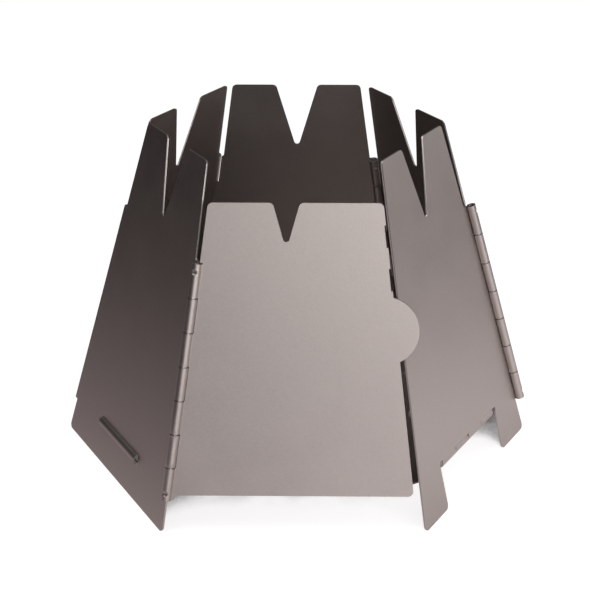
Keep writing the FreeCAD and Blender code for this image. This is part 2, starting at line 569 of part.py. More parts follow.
# Wall hinges, in order round the stove: the first wall grips the pin and the second one runs on it
HINGES = [
    ("DoorHinge", door, -1, left_front, 1, "out"),
    ("LeftFrontHinge", left_front, -1, left_back, 1, "in"),
    ("LeftBackHinge", left_back, -1, back, 1, "out"),
    ("RightBackHinge", back, -1, right_back, 1, "in"),
    ("RightFrontHinge", right_back, -1, right_front, 1, "out"),
]
for name, gripping, grip_side, running, run_side, kind in HINGES:
    wall_knuckles(gripping, name + "Grip", grip_side, kind, 0, True)
    wall_knuckles(running, name + "Run", run_side, kind, 1, False)
    crimp(gripping, name + "LowCrimp", grip_side, kind, "Sizes.hinge_start + Sizes.crimp_inset")
    crimp(gripping, name + "HighCrimp", grip_side, kind, "Sizes.crimp_high")

# Floor: a hexagon with clipped corners, tabs for the grooves and rings of air holes
floor = doc.addObject("PartDesign::Body", "Floor")
floor.setExpression("Placement", "placement(vector(0 mm; 0 mm; Sizes.floor_low); rotationz(60 deg))")
FLOOR_CORNERS = [("floor_hinge_x", "-floor_hinge_y"), ("floor_corner", "0"),
                 ("floor_corner_x", "floor_apo"), ("-floor_corner_x", "floor_apo"),
                 ("-floor_corner", "0"), ("-floor_hinge_x", "-floor_hinge_y")]
floor_outline = sketch_on(floor, "FloorOutline")
polygon(floor_outline, FLOOR_CORNERS)
floor_sheet = pad(floor, "FloorSheet", floor_outline, "gauge")
doc.recompute()
floor_clip = floor.newObject("PartDesign::Chamfer", "FloorClip")
floor_clip.Base = (floor_sheet, edges_at(floor_sheet, FLOOR_CORNERS))
floor_clip.setExpression("Size", "Sizes.floor_clip")
for name, toward in (("BackTab", 30), ("LeftFrontTab", 150)):
    turned = f"placement(vector(0; 0; 0); rotationz({toward - 90} deg))"
    tab_outline = sketch_on(floor, name + "Outline", turned)
    polygon(tab_outline, [("-floor_tab_half", "floor_tab_root"), ("floor_tab_half", "floor_tab_root"),
                          ("floor_tab_half", "floor_tab_end"), ("-floor_tab_half", "floor_tab_end")])
    pad(floor, name, tab_outline, "gauge")
hole = sketch_on(floor, "MiddleHoleOutline")
circle(hole, "0", "0", "hole_r")
cut_through(floor, "MiddleHole", hole)
for ring in range(1, int(size("ring_count")) + 1):
    shifted = f"placement(vector({ring} * Sizes.ring_step; 0; 0); rotationz(0 deg))"
    hole = sketch_on(floor, f"Ring{ring}HoleOutline", shifted)
    circle(hole, "0", "0", "hole_r")
    repeat_round(floor, f"Ring{ring}Holes", cut_through(floor, f"Ring{ring}Hole", hole), 6 * ring)
floor_knuckles(right_front, "FloorHingeGrip", "Sizes.floor_pin_y", "-Sizes.barrel_r", -1, 0, True)
floor_knuckles(floor, "FloorHingeRun", "-Sizes.floor_pin_apo", "Sizes.barrel_r", 1, 1, False)


# Pins
def pin(name, body, place, length):
    """A straight pin held by the body that grips it."""
    rod = doc.addObject("Part::Cylinder", name)
    rod.setExpression("Radius", "Sizes.pin_d / 2")
    rod.setExpression("Height", length)
    rod.setExpression("Placement", f"{body.Name}.Placement * {place}")
    return rod


PINS = {}
for name, gripping, grip_side, running, run_side, kind in HINGES:
    low_end = hinge_place(grip_side, kind, "Sizes.hinge_start + Sizes.pin_inset")
    long = "Sizes.knuckle_count * Sizes.pitch - 2 * Sizes.pin_inset"
    PINS[name] = pin(name + "Pin", gripping, low_end, long)
first_end = "Sizes.pin_inset - Sizes.floor_hinge_half"
low_end = level_place(first_end, "Sizes.floor_pin_y", "-Sizes.barrel_r")
long = "2 * (Sizes.floor_hinge_half - Sizes.pin_inset)"
floor_pin = pin("FloorHingePin", right_front, low_end, long)

# Nodes
NODES = {
    "door": door,
    "right_front_wall": right_front,
    "right_back_wall": right_back,
    "back_wall": back,
    "left_back_wall": left_back,
    "left_front_wall": left_front,
    "floor_plate": floor,
    "door_hinge_pin": PINS["DoorHinge"],
    "left_front_hinge_pin": PINS["LeftFrontHinge"],
    "left_back_hinge_pin": PINS["LeftBackHinge"],
    "right_back_hinge_pin": PINS["RightBackHinge"],
    "right_front_hinge_pin": PINS["RightFrontHinge"],
    "floor_hinge_pin": floor_pin,
}
doc.recompute()
for item in doc.Objects:
    if "Invalid" in item.State or "Error" in item.State or "Touched" in item.State:
        raise RuntimeError(f"{item.Name}: {item.State}")
    shape = getattr(item, "Shape", None)
    if shape is not None and not shape.isNull() and not shape.isValid():
        raise RuntimeError(f"{item.Name}: bad shape")
for node, item in NODES.items():
    if len(item.Shape.Solids) != 1:
        raise RuntimeError(f"{node}: {len(item.Shape.Solids)} solids")
    item.Shape.exportStep(f"parts/{node}.step")
    box = item.Shape.BoundBox
    print(f"{node:24s} {item.Shape.Volume:9.2f} mm3  x {box.XMin:8.2f} {box.XMax:8.2f}  "
          f"y {box.YMin:8.2f} {box.YMax:8.2f}  z {box.ZMin:7.2f} {box.ZMax:7.2f}")
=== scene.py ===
# Looks of the folding wood stove: six hinged walls of blasted sheet, a perforated floor and the hinge pins.
# Shapes are worked out in millimetres and set down in metres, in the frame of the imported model.
import math

import bmesh
import bpy
from mathutils import Matrix, Vector


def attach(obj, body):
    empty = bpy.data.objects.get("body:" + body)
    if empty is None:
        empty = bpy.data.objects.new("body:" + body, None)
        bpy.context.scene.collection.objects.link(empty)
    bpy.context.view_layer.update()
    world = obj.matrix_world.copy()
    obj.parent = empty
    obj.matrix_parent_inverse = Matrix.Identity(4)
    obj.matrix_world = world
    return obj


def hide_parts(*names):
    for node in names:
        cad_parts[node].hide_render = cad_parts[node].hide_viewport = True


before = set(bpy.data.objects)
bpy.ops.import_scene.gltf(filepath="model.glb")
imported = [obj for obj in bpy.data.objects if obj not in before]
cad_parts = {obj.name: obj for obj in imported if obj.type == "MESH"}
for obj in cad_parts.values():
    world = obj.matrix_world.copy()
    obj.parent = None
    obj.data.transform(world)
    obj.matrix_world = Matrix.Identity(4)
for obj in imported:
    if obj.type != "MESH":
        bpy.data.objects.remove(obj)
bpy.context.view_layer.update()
scene = bpy.context.scene
scene.view_settings.view_transform = "Standard"

# Metres in a millimetre
MM = 0.001

# Sizes of the stove, as in the part
HEIGHT = 101.6
FLATS_BASE = 127.0
FLATS_TOP = 76.2
GAUGE = 0.5
CORNER_ROUND = 1.5
NOTCH_HALF = 6.6
NOTCH_DROP = 22.8
NOTCH_ROUND = 0.9
PIN_D = 1.7
RUN_PLAY = 0.05
KNUCKLE_COUNT = 7
KNUCKLE_PLAY = 0.15
HINGE_LOW = 10.0
HINGE_DROP = 26.2
CURL_GAP = 0.2
CRIMP_TURN = math.radians(18)
TAIL_LAP = 0.6
EDGE_PLAY = 0.1
EDGE_LAP = 0.2
EDGE_STEP = 1.65
EDGE_FREE_LOW = 2.1
EDGE_FREE_HIGH = 3.7
DOOR_LOW = 11.3
DOOR_DROP = 10.0
DOOR_FREE_LOW = 1.1
DOOR_FREE_HIGH = 0.9
NICK_COUNT = 2
NICK_DROP = 5.9
NICK_HEIGHT = 6.0
NICK_PITCH = 11.6
NICK_DEPTH = 0.45
DOOR_NOTCH_OFF = 2.0
TAB_OVER = 6.25
TAB_HEIGHT = 57.2
TAB_R = 9.65
LEG_GAP_HALF = 19.6
FLOOR_LOW = 11.3
FLOOR_PLAY = 0.9
FLOOR_CLIP = 7.0
FLOOR_EDGE_PLAY = 0.1
FLOOR_HINGE_RELIEF = 1.8
FLOOR_KNUCKLE_COUNT = 4
FLOOR_TAB_PLAY = 2.2
FLOOR_TAB_CLEAR = 0.45
GROOVE_HALF = 13.2
GROOVE_R = 1.0
HOLE_R = 3.0
RING_STEP = 13.5
RING_COUNT = 3

# Sizes that follow the photograph more closely than the part
NOTCH_DEEPER = 1.1
CRIMP_INSET = 2.3
EDGE_LAP_BACK = 0.65
EDGE_BACK_LOW = 2.45
EDGE_BACK_HIGH = 3.25
RELIEF_ABOVE = 0.15
DOOR_RELIEF_ROUND = 0.2

# The hexagon and its walls, whose left and right are as seen from outside
SIDES = 6
LEFT = -1
RIGHT = 1
SIXTH = math.radians(60)
APO_BASE = FLATS_BASE / 2
APO_TOP = FLATS_TOP / 2
LEAN = math.atan((APO_BASE - APO_TOP) / HEIGHT)
SLOPE = HEIGHT / math.cos(LEAN)
HALF_BASE = APO_BASE * math.tan(SIXTH / 2)
HALF_TOP = APO_TOP * math.tan(SIXTH / 2)
TAPER = math.atan((HALF_BASE - HALF_TOP) / SLOPE)
TURN = math.acos(math.cos(LEAN) ** 2 / 2 + math.sin(LEAN) ** 2)
NOTCH_Y = (HEIGHT - NOTCH_DROP) / math.cos(LEAN)
WALL_NOTCH_Y = NOTCH_Y - NOTCH_DEEPER
DOOR_LOW_Y = DOOR_LOW / math.cos(LEAN)
DOOR_HIGH_Y = (HEIGHT - DOOR_DROP) / math.cos(LEAN)
TAB_Y = TAB_HEIGHT / math.cos(LEAN)

# Wall hinges, of which an "out" one stands outside the stove and an "in" one inside
BORE_R = PIN_D / 2 + RUN_PLAY
BARREL_R = BORE_R + GAUGE
BARREL_CHORD = math.sqrt(BARREL_R ** 2 - BORE_R ** 2)
ROLL_R = BORE_R + GAUGE / 2
ROLL_TURN = 1.5 * math.pi + math.asin((BORE_R - CURL_GAP) / BARREL_R)
ALONG = 1 / (math.cos(LEAN) * math.cos(TAPER))
HINGE_START = HINGE_LOW * ALONG
HINGE_HIGH = HEIGHT - HINGE_DROP
PITCH = (HINGE_HIGH - HINGE_LOW) * ALONG / KNUCKLE_COUNT
HINGE_END = HINGE_START + KNUCKLE_COUNT * PITCH
IN_SHIFT = BARREL_R * math.tan(TURN / 2)
OUT_SHIFT = BORE_R * math.tan(TURN / 2)
EDGE_OUT = BARREL_R - OUT_SHIFT + EDGE_PLAY
EDGE_IN = IN_SHIFT + BARREL_CHORD + EDGE_PLAY
EDGE_INSET = {"out": EDGE_OUT, "in": EDGE_IN}
STRAIGHT = {"out": OUT_SHIFT + EDGE_OUT, "in": EDGE_IN - IN_SHIFT}
CURL = {"out": 1.0, "in": -1.0}

# Steps in the walls' edges above their outer hinges
ROUND_SHARE = 0.9
RELIEF_Y = (HINGE_HIGH + RELIEF_ABOVE) / math.cos(LEAN)
RELIEF_ROUND = min(CORNER_ROUND, ROUND_SHARE * min(EDGE_OUT - EDGE_LAP, EDGE_STEP - EDGE_OUT))
LAP_ROUND = ROUND_SHARE * (EDGE_OUT - EDGE_LAP_BACK)

# The floor, its hinge and its grooves
FLOOR_PIN_Z = FLOOR_LOW + BARREL_R
FLOOR_PIN_Y = (FLOOR_PIN_Z + BARREL_R * math.sin(LEAN)) / math.cos(LEAN)
FLOOR_PIN_APO = APO_BASE - FLOOR_PIN_Z * math.tan(LEAN) - BARREL_R / math.cos(LEAN)
FLOOR_STRAIGHT = BARREL_CHORD + FLOOR_EDGE_PLAY
FLOOR_HINGE_HALF = LEG_GAP_HALF - FLOOR_HINGE_RELIEF
FLOOR_KNUCKLE = 2 * FLOOR_HINGE_HALF / FLOOR_KNUCKLE_COUNT
FLOOR_HINGE_Y = FLOOR_PIN_APO - FLOOR_STRAIGHT
LEG_GAP_Y = FLOOR_PIN_Y + FLOOR_STRAIGHT
FLOOR_WALL = APO_BASE - (FLOOR_LOW + GAUGE) * math.tan(LEAN) - GAUGE / math.cos(LEAN)
FLOOR_APO = FLOOR_WALL - FLOOR_PLAY
FLOOR_TAB_HALF = GROOVE_HALF - FLOOR_TAB_PLAY
FLOOR_TAB_END = FLOOR_WALL + GAUGE / 2 + GROOVE_R - FLOOR_TAB_CLEAR
GROOVE_Y = (FLOOR_LOW + GAUGE / 2 * (1 + math.sin(LEAN))) / math.cos(LEAN)
GROOVE_OUTER_R = GROOVE_R + GAUGE

# Finish of the meshes
ARC_STEPS = 6
TAB_STEPS = 40
HOLE_STEPS = 36
ROLL_STEPS = 46
KNUCKLE_SPANS = 6
CRIMPED_SPANS = 60
GROOVE_SPANS = 8
CRIMP_R = 0.78
CRIMP_DEPTH = 0.34
SLIT = 0.3
FLOOR_TAB_ROUND = 0.6
END_RELIEF = 0.08
EDGE_BEVEL = 0.07
BEVEL_SEGMENTS = 2
BEVEL_ANGLE = math.radians(40)
SHARP = math.radians(24)
FLAT_AREA = 100.0
WELD = 0.002

# Limits by which the sheets' trees tell what to press and roll
GROOVE_SLACK = 0.01
SWING_SLACK = 0.001
NO_GROOVE = -1.0
ROLL_SLACK = 0.001
CURLED = 0.5


# Nodes
class Wire:
    """An output socket whose arithmetic adds Math nodes to its graph."""

    def __init__(self, graph, socket):
        self.graph = graph
        self.socket = socket

    def __add__(self, other):
        return self.graph.math("ADD", self, other)

    def __radd__(self, other):
        return self.graph.math("ADD", other, self)

    def __sub__(self, other):
        return self.graph.math("SUBTRACT", self, other)

    def __rsub__(self, other):
        return self.graph.math("SUBTRACT", other, self)

    def __mul__(self, other):
        return self.graph.math("MULTIPLY", self, other)

    def __rmul__(self, other):
        return self.graph.math("MULTIPLY", other, self)

    def __truediv__(self, other):
        return self.graph.math("DIVIDE", self, other)

    def __gt__(self, other):
        return self.graph.math("GREATER_THAN", self, other)

    def __lt__(self, other):
        return self.graph.math("LESS_THAN", self, other)

    def __abs__(self):
        return self.graph.math("ABSOLUTE", self)


class Graph:
    """A node tree in which every node is made in the same way."""

    def __init__(self, tree):
        self.tree = tree

    def add(self, kind, settings=None, sockets=None, out=0):
        """A node of a kind: its settings first, then the values or links of its sockets."""
        node = self.tree.nodes.new(kind)
        for name, value in (settings or {}).items():
            setattr(node, name, value)
        for name, value in (sockets or {}).items():
            if isinstance(value, Wire):
                self.feed(value, node, name)
            else:
                node.inputs[name].default_value = value
        return Wire(self, node.outputs[out])

    def feed(self, wire, node, name):
        """Link a wire to a socket of a node."""
        self.tree.links.new(wire.socket, node.inputs[name])

    def beside(self, wire, out):
        """Another output of the node that a wire comes from."""
        return Wire(self, wire.socket.node.outputs[out])

    def math(self, operation, *values):
        """A Math node on wires and numbers."""
        return self.add("ShaderNodeMath", {"operation": operation}, dict(enumerate(values)))


def vector_math(graph, operation, *values, out=0):
    """A Vector Math node on vectors, or on a vector and a scale."""
    sockets = dict(enumerate(values))
    if operation == "SCALE":
        sockets = {"Vector": values[0], "Scale": values[1]}
    return graph.add("ShaderNodeVectorMath", {"operation": operation}, sockets, out)


def distance(graph, first, second):
    """How far two places lie apart."""
    return vector_math(graph, "DISTANCE", first, second, out="Value")


def split(graph, vector):
    """X, Y and Z wires of a vector."""
    x = graph.add("ShaderNodeSeparateXYZ", sockets={0: vector})
    return x, graph.beside(x, 1), graph.beside(x, 2)


def joined(graph, x, y, z):
    """A vector from three numbers."""
    return graph.add("ShaderNodeCombineXYZ", sockets={0: x, 1: y, 2: z})


# A Mix node numbers its sockets for colours like this
MIX_FACTOR = 0
MIX_FIRST = 6
MIX_SECOND = 7
MIX_RESULT = 2


def mixed(graph, factor, first, second):
    """The first colour going over into the second as the factor rises."""
    sockets = {MIX_FACTOR: factor, MIX_FIRST: first, MIX_SECOND: second}
    return graph.add("ShaderNodeMix", {"data_type": "RGBA"}, sockets, out=MIX_RESULT)


def multiplied(graph, first, second):
    """Two colours multiplied."""
    settings = {"data_type": "RGBA", "blend_type": "MULTIPLY"}
    sockets = {MIX_FACTOR: 1.0, MIX_FIRST: first, MIX_SECOND: second}
    return graph.add("ShaderNodeMix", settings, sockets, out=MIX_RESULT)


# Materials
CLOUD_SCALE, CLOUD_DETAIL = 95.0, 4.0
SPECK_SCALE, SPECK_DETAIL = 1500.0, 3.0
PIT_SCALE, PIT_DETAIL = 3600.0, 2.0
NOISE_MEAN = 0.5
LEAST_SHADE = 0.86
CLOUD_SHADE = 0.10
SPECK_SHADE = 0.18
CLOUD_GLOSS = 0.10
SPECK_GLOSS = 0.12
PIT_DEPTH = 0.00004


def noise(graph, place, scale, detail):
    """Noise of a given fineness."""
    return graph.add("ShaderNodeTexNoise", sockets={"Vector": place, "Scale": scale, "Detail": detail})


def blasted_sheet(name, colour, roughness, grain):
    """Bead-blasted metal: fine grain, faint clouds and a softly uneven gloss."""
    material = bpy.data.materials.new(name)
    material.use_nodes = True
    graph = Graph(material.node_tree)
    shader = material.node_tree.nodes["Principled BSDF"]
    shader.inputs["Metallic"].default_value = 1.0
    place = graph.add("ShaderNodeTexCoord", out="Object")
    clouds = noise(graph, place, CLOUD_SCALE, CLOUD_DETAIL)
    specks = noise(graph, place, SPECK_SCALE, SPECK_DETAIL)
    pits = noise(graph, place, PIT_SCALE, PIT_DETAIL)
    shade = LEAST_SHADE + CLOUD_SHADE * clouds + SPECK_SHADE * specks
    tinted = multiplied(graph, (*colour, 1.0), shade)
    uneven = roughness + CLOUD_GLOSS * (clouds - NOISE_MEAN) + SPECK_GLOSS * (specks - NOISE_MEAN)
    relief = graph.add("ShaderNodeBump",
                       sockets={"Strength": grain, "Distance": PIT_DEPTH, "Height": pits + specks})
    graph.feed(tinted, shader, "Base Color")
    graph.feed(uneven, shader, "Roughness")
    graph.feed(relief, shader, "Normal")
    return material


SHEET = blasted_sheet("blasted_sheet", colour=(0.50, 0.447, 0.425), roughness=0.44, grain=0.35)
CUT_EDGE = blasted_sheet("cut_edge", colour=(0.50, 0.455, 0.435), roughness=0.46, grain=0.15)
PIN_STEEL = blasted_sheet("pin_steel", colour=(0.60, 0.58, 0.56), roughness=0.30, grain=0.15)


# Outlines: corners are (x, y, radius), and a root is where a tab is drawn out of the sheet's edge
class Root:
    """A point on a sheet's edge with its tab's reach, straight length and direction of curl."""

    def __init__(self, place, reach, straight, curl):
        self.place = place
        self.reach = reach
        self.straight = straight
        self.curl = curl


def arc(middle, first, sweep, steps):
    """Points round a middle, starting at an offset from it and going through an angle."""
    return [middle + Matrix.Rotation(sweep * step / steps, 2) @ first for step in range(steps + 1)]


def rounded(corners):
    """An outline's points with every corner that has a radius turned into an arc."""
    spots = [c.place if isinstance(c, Root) else Vector(c[:2]) for c in corners]
    points = []
    for i, corner in enumerate(corners):
        if isinstance(corner, Root):
            points.append(corner)
            continue
        radius = corner[2]
        if radius == 0.0:
            points.append(spots[i])
            continue
        back = (spots[i - 1] - spots[i]).normalized()
        ahead = (spots[(i + 1) % len(spots)] - spots[i]).normalized()
        half = back.angle(ahead) / 2
        middle = spots[i] + (back + ahead).normalized() * (radius / math.sin(half))
        first = spots[i] + back * (radius / math.tan(half)) - middle
        sweep = math.copysign(math.pi - 2 * half, ahead.cross(back))
        points += arc(middle, first, sweep, ARC_STEPS)
    return points


def edge_axes(side):
    """Directions up a wall's corner line and away from the wall, in the wall's plane."""
    up = Vector((-side * math.sin(TAPER), math.cos(TAPER)))
    away = Vector((side * math.cos(TAPER), math.sin(TAPER)))
    return up, away


def on_edge(side, inset, along):
    """Point at an inset from a wall's corner line, at a length along that line from the ground."""
    up, away = edge_axes(side)
    return Vector((side * HALF_BASE, 0.0)) - inset * away + along * up


def inset_x(inset, y):
    """Distance from a wall's middle to a line inset from its corner line, at a height up the wall."""
    return HALF_BASE - y * math.tan(TAPER) - inset / math.cos(TAPER)


def hinge_roots(side, kind, grips):
    """Roots of a wall's knuckles on one side, from the ground up, with a bare point in each gap."""
    away = edge_axes(side)[1]
    reach = STRAIGHT[kind] + ROLL_R * ROLL_TURN
    points = []
    for knuckle in range(0 if grips else 1, KNUCKLE_COUNT, 2):
        crimped = grips and knuckle in (0, KNUCKLE_COUNT - 1)
        spans = CRIMPED_SPANS if crimped else KNUCKLE_SPANS
        low = HINGE_START + knuckle * PITCH + KNUCKLE_PLAY / 2 + END_RELIEF
        length = PITCH - KNUCKLE_PLAY - 2 * END_RELIEF
        if points:
            points.append((*on_edge(side, EDGE_INSET[kind], low - PITCH / 2), 0.0))
        for span in range(spans + 1):
            place = on_edge(side, EDGE_INSET[kind], low + length * span / spans)
            points.append(Root(place, away * reach, STRAIGHT[kind], CURL[kind]))
    return points


def floor_roots(y, curl, first):
    """Roots of the floor hinge's knuckles on a level edge, from left to right, with tabs towards -y."""
    reach = Vector((0.0, -1.0)) * (FLOOR_STRAIGHT + ROLL_R * ROLL_TURN)
    points = []
    for knuckle in range(first, FLOOR_KNUCKLE_COUNT, 2):
        low = knuckle * FLOOR_KNUCKLE - FLOOR_HINGE_HALF + KNUCKLE_PLAY / 2
        length = FLOOR_KNUCKLE - KNUCKLE_PLAY
        if points:
            points.append((low - FLOOR_KNUCKLE / 2, y, 0.0))
        for span in range(KNUCKLE_SPANS + 1):
            place = Vector((low + length * span / KNUCKLE_SPANS, y))
            points.append(Root(place, reach, FLOOR_STRAIGHT, curl))
    return points


# Edges above an outer hinge: insets at the step and at the pot edge, and the step's radius
ABOVE_HINGE = {
    "lap": (EDGE_LAP_BACK, EDGE_LAP_BACK, LAP_ROUND),
    "back": (EDGE_BACK_LOW, EDGE_BACK_HIGH, RELIEF_ROUND),
    "step": (EDGE_STEP, EDGE_STEP, RELIEF_ROUND),
}
NOTCH = [
    (NOTCH_HALF, SLOPE, CORNER_ROUND),
    (0.0, WALL_NOTCH_Y, NOTCH_ROUND),
    (-NOTCH_HALF, SLOPE, CORNER_ROUND),
]


def wall_side(side, style, roots):
    """A full wall's side from the ground to the pot edge: free, plain or stepped above its hinge."""
    if style == "free":
        return [(side * inset_x(EDGE_FREE_LOW, 0.0), 0.0, CORNER_ROUND),
                (side * inset_x(EDGE_FREE_HIGH, SLOPE), SLOPE, CORNER_ROUND)]
    inset = EDGE_IN if style == "plain" else EDGE_OUT
    corners = [(side * inset_x(inset, 0.0), 0.0, CORNER_ROUND)] + roots
    if style == "plain":
        return corners + [(side * inset_x(inset, SLOPE), SLOPE, CORNER_ROUND)]
    low, high, relief_round = ABOVE_HINGE[style]
    corners.append((side * inset_x(inset, RELIEF_Y), RELIEF_Y, 0.0))
    corners.append((side * inset_x(low, RELIEF_Y), RELIEF_Y, relief_round))
    corners.append((side * inset_x(high, SLOPE), SLOPE, CORNER_ROUND))
    return corners


def wall_outline(left, right, foot=()):
    """A wall that stands on the ground, counter-clockwise from its foot. A side is (style, roots)."""
    return list(foot) + wall_side(RIGHT, *right) + NOTCH + wall_side(LEFT, *left)[::-1]


def finger_tab(low, climb):
    """Points of the round tab on the door's free edge, which climbs from its low end."""
    middle = Vector((inset_x(0.0, TAB_Y) + TAB_OVER - TAB_R, TAB_Y))
    nearest = low + climb * (middle - low).dot(climb)
    chord = math.sqrt(TAB_R ** 2 - (middle - nearest).length_squared)
    first = nearest - climb * chord - middle
    sweep = 2 * math.pi - 2 * math.asin(chord / TAB_R)
    if (middle - nearest).dot(Vector((climb.y, -climb.x))) < 0:
        sweep = 2 * math.asin(chord / TAB_R)
    return arc(middle, first, sweep, TAB_STEPS)


def nicks(high, climb):
    """Points of the shallow nicks in the door's free edge, which climbs to its high end."""
    deep = Vector((NICK_DEPTH, 0.0))
    points = []
    for nick in reversed(range(NICK_COUNT)):
        top = DOOR_HIGH_Y - (NICK_DROP + nick * NICK_PITCH) / math.cos(LEAN)
        ends = [top - NICK_HEIGHT / math.cos(LEAN), top]
        lower, upper = [high + climb * ((y - high.y) / climb.y) for y in ends]
        points += [lower, lower - deep, upper - deep, upper]
    return points


def door_outline():
    """The door: a shorter wall with nicks and a round finger tab on its free edge."""
    low = Vector((inset_x(DOOR_FREE_LOW, DOOR_LOW_Y), DOOR_LOW_Y))
    high = Vector((inset_x(-DOOR_FREE_HIGH, DOOR_HIGH_Y), DOOR_HIGH_Y))
    climb = (high - low).normalized()
    corners = [(*low, CORNER_ROUND)]
    corners += [(*spot, 0.0) for spot in finger_tab(low, climb) + nicks(high, climb)]
    notch_half = NOTCH_HALF * (NOTCH_DROP - DOOR_DROP) / NOTCH_DROP
    corners += [
        (*high, CORNER_ROUND),
        (notch_half - DOOR_NOTCH_OFF, DOOR_HIGH_Y, CORNER_ROUND),
        (-DOOR_NOTCH_OFF, NOTCH_Y, NOTCH_ROUND),
        (-notch_half - DOOR_NOTCH_OFF, DOOR_HIGH_Y, CORNER_ROUND),
        (-inset_x(EDGE_LAP, DOOR_HIGH_Y), DOOR_HIGH_Y, CORNER_ROUND),
        (-inset_x(EDGE_LAP, RELIEF_Y), RELIEF_Y, DOOR_RELIEF_ROUND),
        (-inset_x(EDGE_OUT, RELIEF_Y), RELIEF_Y, 0.0),
    ]
    corners += hinge_roots(LEFT, "out", grips=True)[::-1]
    foot = on_edge(LEFT, EDGE_OUT + TAIL_LAP, HINGE_START + KNUCKLE_PLAY / 2)
    return corners + [(*foot, 0.0), (-inset_x(EDGE_OUT + TAIL_LAP, DOOR_LOW_Y), DOOR_LOW_Y, 0.0)]


def groove_slot():
    """Opening that a raised groove bridges: open slits at its ends, and the arch's root below."""
    low, high = GROOVE_Y - GROOVE_OUTER_R, GROOVE_Y + GROOVE_OUTER_R
    columns = [GROOVE_HALF * (2 * span / GROOVE_SPANS - 1) for span in range(GROOVE_SPANS + 1)]
    reach = Vector((0.0, 2 * GROOVE_OUTER_R))
    lower = [Root(Vector((x, low)), reach, 0.0, 0.0) for x in columns]
    upper = [(x, high, 0.0) for x in reversed(columns)]
    end = GROOVE_HALF + SLIT
    return [(-end, low, 0.0)] + lower + [(end, low, 0.0), (end, high, 0.0)] + upper + [(-end, high, 0.0)]


def floor_tab(along):
    """Corners of the tab in the middle of a floor side that runs in a direction."""
    outward = Vector((along.y, -along.x))
    middle = outward * FLOOR_APO
    corners = []
    for across, out in ((-1, 0), (-1, 1), (1, 1), (1, 0)):
        place = middle + along * (across * FLOOR_TAB_HALF)
        place += outward * (out * (FLOOR_TAB_END - FLOOR_APO))
        corners.append((*place, FLOOR_TAB_ROUND if out else 0.0))
    return corners


def floor_outline():
    """The floor: a hexagon with clipped corners, a hinged side at -y and a tab for each groove."""
    corner = FLOOR_APO / math.cos(SIXTH / 2)
    hinge_x = (FLOOR_APO - FLOOR_HINGE_Y / 2) / math.cos(SIXTH / 2)
    sharp = [Vector((hinge_x, -FLOOR_HINGE_Y)), Vector((corner, 0.0)), Vector((corner / 2, FLOOR_APO))]
    sharp += [Vector((-spot.x, spot.y)) for spot in reversed(sharp)]
    tab_after = (1, 3)
    corners = floor_roots(-FLOOR_HINGE_Y, CURL["out"], first=1)
    for i, spot in enumerate(sharp):
        back = (sharp[i - 1] - spot).normalized()
        along = (sharp[(i + 1) % SIDES] - spot).normalized()
        corners.append((*(spot + back * FLOOR_CLIP), 0.0))
        corners.append((*(spot + along * FLOOR_CLIP), 0.0))
        if i in tab_after:
            corners += floor_tab(along)
    return corners


# Sheets: cut from outlines, given their gauge, then pressed and rolled by a geometry tree
FLOAT = "NodeSocketFloat"
VECTOR = "NodeSocketVector"
SHEET_INPUTS = [
    ("Gauge", FLOAT),
    ("Level Shift", FLOAT),
    ("Roll Radius", FLOAT),
    ("Groove Half", FLOAT),
    ("Groove Height", FLOAT),
    ("Groove Radius", FLOAT),
    ("Crimp Low", VECTOR),
    ("Crimp High", VECTOR),
    ("Crimp Radius", FLOAT),
    ("Crimp Depth", FLOAT),
]
HOLE_INPUTS = [("Hole Radius", FLOAT), ("Ring Step", FLOAT)]
ROOT_FACTS = (("reach", "FLOAT_VECTOR"), ("straight", "FLOAT"), ("curl", "FLOAT"))
LEFTOVERS = ("reach", "straight", "curl", "root", "front", "past", "cut")


def group_tree(name, inputs):
    """An empty geometry tree with named inputs, and its input wires by name."""
    tree = bpy.data.node_groups.new(name, "GeometryNodeTree")
    tree.interface.new_socket("Geometry", in_out="INPUT", socket_type="NodeSocketGeometry")
    for label, kind in inputs:
        tree.interface.new_socket(label, in_out="INPUT", socket_type=kind)
    tree.interface.new_socket("Geometry", in_out="OUTPUT", socket_type="NodeSocketGeometry")
    graph = Graph(tree)
    first = graph.add("NodeGroupInput")
    labels = ["Geometry"] + [label for label, kind in inputs]
    return graph, {label: graph.beside(first, label) for label in labels}


def position(graph):
    """Where each point lies."""
    return graph.add("GeometryNodeInputPosition")


def stored(graph, name, kind):
    """A named attribute's wire."""
    return graph.add("GeometryNodeInputNamedAttribute", {"data_type": kind}, {"Name": name})


def store(graph, mesh, name, kind, domain, value):
    """The mesh with a value kept under a name."""
    settings = {"data_type": kind, "domain": domain}
    sockets = {"Geometry": mesh, "Name": name, "Value": value}
    return graph.add("GeometryNodeStoreNamedAttribute", settings, sockets)


def sampled(graph, mesh, kind, value, index):
    """A value as it is at a point of another mesh."""
    settings = {"data_type": kind, "domain": "POINT"}
    sockets = {"Geometry": mesh, "Value": value, "Index": index}
    return graph.add("GeometryNodeSampleIndex", settings, sockets)


def together(graph, parts):
    """Several geometries as one."""
    everything = graph.add("GeometryNodeJoinGeometry")
    for part in parts:
        graph.feed(part, everything.socket.node, "Geometry")
    return everything


def welded(graph, mesh):
    """The mesh with points that meet made one."""
    return graph.add("GeometryNodeMergeByDistance", sockets={"Geometry": mesh, "Distance": WELD})


def shifted(graph, mesh, chosen, offset):
    """The mesh with the chosen points moved by an offset."""
    sockets = {"Geometry": mesh, "Selection": chosen, "Offset": offset}
    return graph.add("GeometryNodeSetPosition", sockets=sockets)


